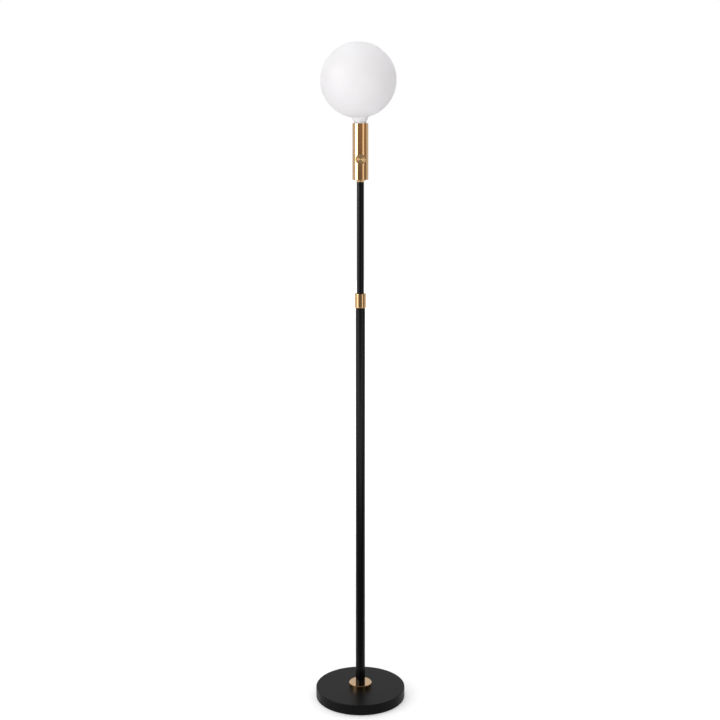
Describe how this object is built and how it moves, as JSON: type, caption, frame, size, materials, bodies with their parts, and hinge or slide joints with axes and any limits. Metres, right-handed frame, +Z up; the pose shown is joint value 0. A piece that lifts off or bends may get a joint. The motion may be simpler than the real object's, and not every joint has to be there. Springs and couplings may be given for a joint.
{
  "type": "floor lamp",
  "caption": "Telescopic floor lamp with a round weighted base, twist-lock sleeve, slim brass lampholder with a dimmer knob, and a bare opal globe lamp",
  "frame": {"origin": "on the floor at the centre of the base, on the axis of the pole", "axes": "+Z up along the pole, -Y the front with the knob, +X to the right seen from the front"},
  "size_m": [0.18, 0.18, 1.3276],
  "materials": {
    "black_casting": "satin black powder coat on cast iron",
    "black_satin": "satin black powder coat on steel tube",
    "brass": "turned and polished brass, clear lacquer",
    "brass_plain": "plain brass strip or bar",
    "zinc_steel": "bright zinc plate",
    "nickel": "nickel plate on brass shell",
    "rubber": "matt black rubber",
    "pad_foam": "fine-grained black foam pad",
    "nylon": "natural nylon",
    "flex_sheath": "black sheath",
    "lead_pvc": "brown lead insulation",
    "moulded_black": "moulded black thermoset",
    "moulded_white": "moulded white plastic",
    "opal_glass": "opal white glass, gloss outside",
    "cap_glass": "black cap glass",
    "board_aluminium": "white solder mask on aluminium board",
    "led_phosphor": "yellow phosphor over diodes",
    "board_laminate": "green laminate board with parts"
  },
  "bodies": {
    "stand": {"base_plate": "black_casting", "base_pad": "pad_foam", "cord_gland": "rubber", "foot_collar": "brass", "foot_plug": "zinc_steel", "foot_stud": "zinc_steel", "foot_washer": "zinc_steel", "foot_nut": "zinc_steel", "earth_tag": "brass_plain", "earth_screw": "zinc_steel", "foot_flex": "flex_sheath", "lower_tube": "black_satin", "collet_bush": "zinc_steel", "clamp_ring": "nylon", "coiled_flex": "flex_sheath"},
    "clamp": {"clamp_sleeve": "brass"},
    "mast": {"upper_tube": "black_satin", "guide_bush": "nylon", "mast_flex": "flex_sheath", "head_plug": "zinc_steel", "holder_ferrule": "brass", "holder_nipple": "zinc_steel", "holder_washer": "zinc_steel", "holder_nut": "zinc_steel", "holder_body": "brass", "holder_bracket": "zinc_steel", "bracket_screws": "zinc_steel", "lampholder_body": "moulded_black", "screw_shell": "nickel", "centre_contact": "brass_plain", "terminal_screws": "zinc_steel", "holder_leads": "lead_pvc", "switch_body": "moulded_black", "switch_bushing": "brass_plain", "switch_saddle": "brass", "switch_nut": "zinc_steel"},
    "knob": {"knob": "brass", "switch_shaft": "zinc_steel", "knob_screw": "zinc_steel"},
    "bulb": {"bulb_globe": "opal_glass", "bulb_cap": "nickel", "cap_insulator": "cap_glass", "tip_contact": "brass_plain", "led_stem": "moulded_white", "led_board": "board_aluminium", "led_chips": "led_phosphor", "driver_board": "board_laminate"}
  },
  "joints": [
    {"name": "mast_slide", "type": "slide", "parent": "stand", "child": "mast", "axis": [0, 0, 1], "range_m": [-0.2219, 0.33], "deforming": ["coiled_flex"]},
    {"name": "clamp_turn", "type": "hinge", "parent": "stand", "child": "clamp", "pos_m": [0, 0, 0.8152], "axis": [0, 0, 1], "range_deg": [0, 120]},
    {"name": "knob_turn", "type": "hinge", "parent": "mast", "child": "knob", "pos_m": [0, -0.02, 1.0975], "axis": [0, 1, 0], "range_deg": [0, 270]},
    {"name": "bulb_lift", "type": "slide", "parent": "mast", "child": "bulb", "axis": [0, 0, 1], "range_m": [0, 0.05]}
  ]
}
